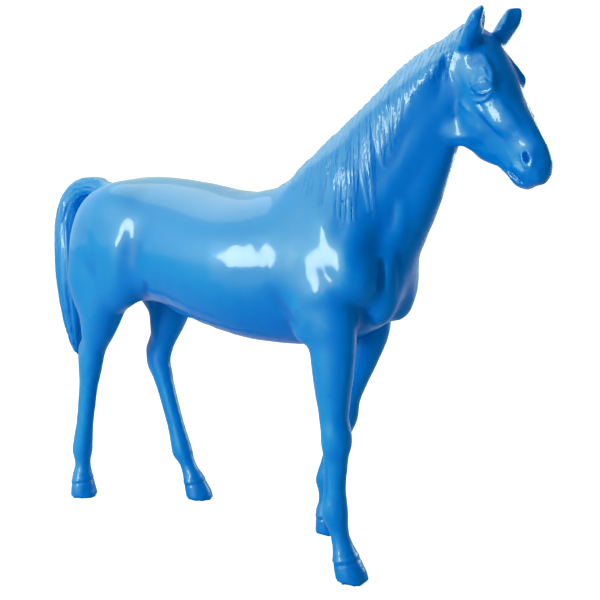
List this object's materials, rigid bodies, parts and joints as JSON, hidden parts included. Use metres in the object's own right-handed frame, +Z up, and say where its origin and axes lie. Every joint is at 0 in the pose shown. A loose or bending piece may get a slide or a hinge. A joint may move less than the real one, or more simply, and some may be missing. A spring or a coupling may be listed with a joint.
{
  "type": "horse sculpture",
  "caption": "Life-size glossy blue horse sculpture in a walking stance, head raised and turned, with carved mane and tail.",
  "frame": {"origin": "on the ground, under the middle of the horse's bounding box", "axes": "+X towards the head, +Y to the horse's left side, +Z up"},
  "size_m": [2.339, 0.5506, 1.977],
  "materials": {
    "blue_gloss": "high-gloss blue paint on cast resin"
  },
  "bodies": {
    "root": {"horse": "blue_gloss"}
  },
  "joints": []
}
